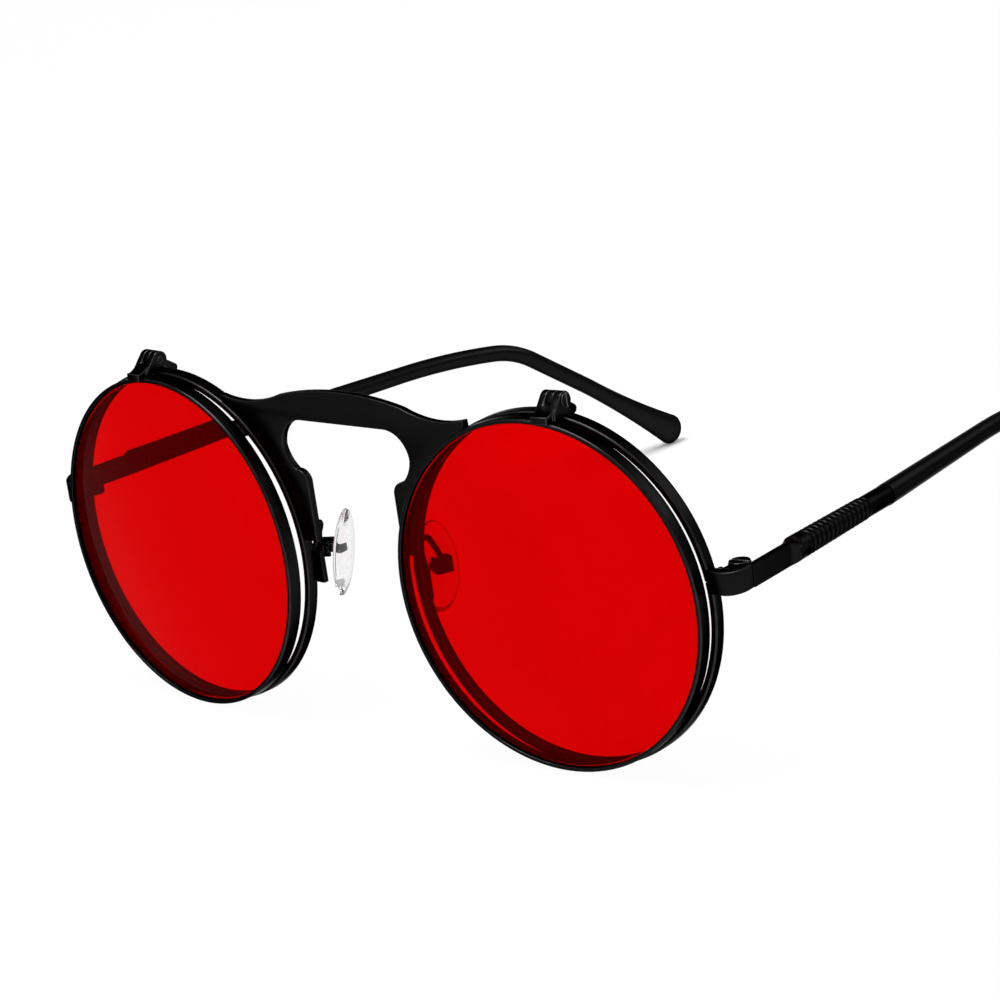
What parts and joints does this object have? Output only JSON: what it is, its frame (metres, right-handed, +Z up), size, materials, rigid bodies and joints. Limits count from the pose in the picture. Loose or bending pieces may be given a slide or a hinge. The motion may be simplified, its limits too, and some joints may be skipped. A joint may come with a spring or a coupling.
{
  "type": "flip-up sunglasses",
  "caption": "Round metal glasses with red lenses in rings that flip up on hinges, a keyhole bridge, clear nose pads and folding ribbed temples.",
  "frame": {"origin": "on the surface that the glasses stand on, under the middle of their footprint", "axes": "+Z up, +Y back along the temples, +X to the wearer's left"},
  "size_m": [0.1348, 0.1348, 0.0546],
  "materials": {
    "frame_metal": "satin black lacquer",
    "ring_metal": "gloss black lacquer",
    "hinge_metal": "gloss black lacquer",
    "temple_metal": "satin black lacquer",
    "screw_metal": "blackened steel",
    "core_wire": "drawn wire",
    "insert_metal": "blackened metal lug",
    "arm_plastic": "gloss black",
    "red_lens": "polished clear red",
    "clear_lens": "polished clear",
    "clear_pad": "clear silicone"
  },
  "bodies": {
    "front": {"bridge": "frame_metal", "left_rim": "frame_metal", "left_clear_lens": "clear_lens", "left_rim_screw": "screw_metal", "left_end_piece": "frame_metal", "left_temple_hinge_screw": "screw_metal", "left_flip_hinge_base": "hinge_metal", "left_flip_hinge_pin": "screw_metal", "left_pad_arm": "frame_metal", "left_pad_box": "frame_metal", "left_pad_screw": "screw_metal", "right_rim": "frame_metal", "right_clear_lens": "clear_lens", "right_rim_screw": "screw_metal", "right_end_piece": "frame_metal", "right_temple_hinge_screw": "screw_metal", "right_flip_hinge_base": "hinge_metal", "right_flip_hinge_pin": "screw_metal", "right_pad_arm": "frame_metal", "right_pad_box": "frame_metal", "right_pad_screw": "screw_metal"},
    "left_flip": {"left_flip_ring": "ring_metal", "left_red_lens": "red_lens", "left_flip_hinge_leaf": "hinge_metal"},
    "left_temple": {"left_temple_bar": "temple_metal", "left_temple_core": "core_wire", "left_temple_arm": "arm_plastic"},
    "left_pad": {"left_nose_pad": "clear_pad", "left_pad_insert": "insert_metal"},
    "right_flip": {"right_flip_ring": "ring_metal", "right_red_lens": "red_lens", "right_flip_hinge_leaf": "hinge_metal"},
    "right_temple": {"right_temple_bar": "temple_metal", "right_temple_core": "core_wire", "right_temple_arm": "arm_plastic"},
    "right_pad": {"right_nose_pad": "clear_pad", "right_pad_insert": "insert_metal"}
  },
  "joints": [
    {"name": "left_flip_hinge", "type": "hinge", "parent": "front", "child": "left_flip", "pos_m": [0.03977, -0.0611, 0.05325], "axis": [-0.9966, -0.0819, 0], "range_deg": [0, 95]},
    {"name": "left_temple_hinge", "type": "hinge", "parent": "front", "child": "left_temple", "pos_m": [0.06398, -0.05583, 0.03001], "axis": [0, 0.0001, 1], "range_deg": [0, 82]},
    {"name": "left_pad_rock", "type": "hinge", "parent": "front", "child": "left_pad", "pos_m": [0.01147, -0.05844, 0.02577], "axis": [0.3987, 0.9171, -0.0001], "range_deg": [-6, 6]},
    {"name": "right_flip_hinge", "type": "hinge", "parent": "front", "child": "right_flip", "pos_m": [-0.03977, -0.0611, 0.05325], "axis": [-0.9966, 0.0819, 0], "range_deg": [0, 95]},
    {"name": "right_temple_hinge", "type": "hinge", "parent": "front", "child": "right_temple", "pos_m": [-0.06398, -0.05583, 0.03001], "axis": [0, -0.0001, -1], "range_deg": [0, 77]},
    {"name": "right_pad_rock", "type": "hinge", "parent": "front", "child": "right_pad", "pos_m": [-0.01147, -0.05844, 0.02577], "axis": [-0.3987, 0.9171, -0.0001], "range_deg": [-6, 6]}
  ]
}
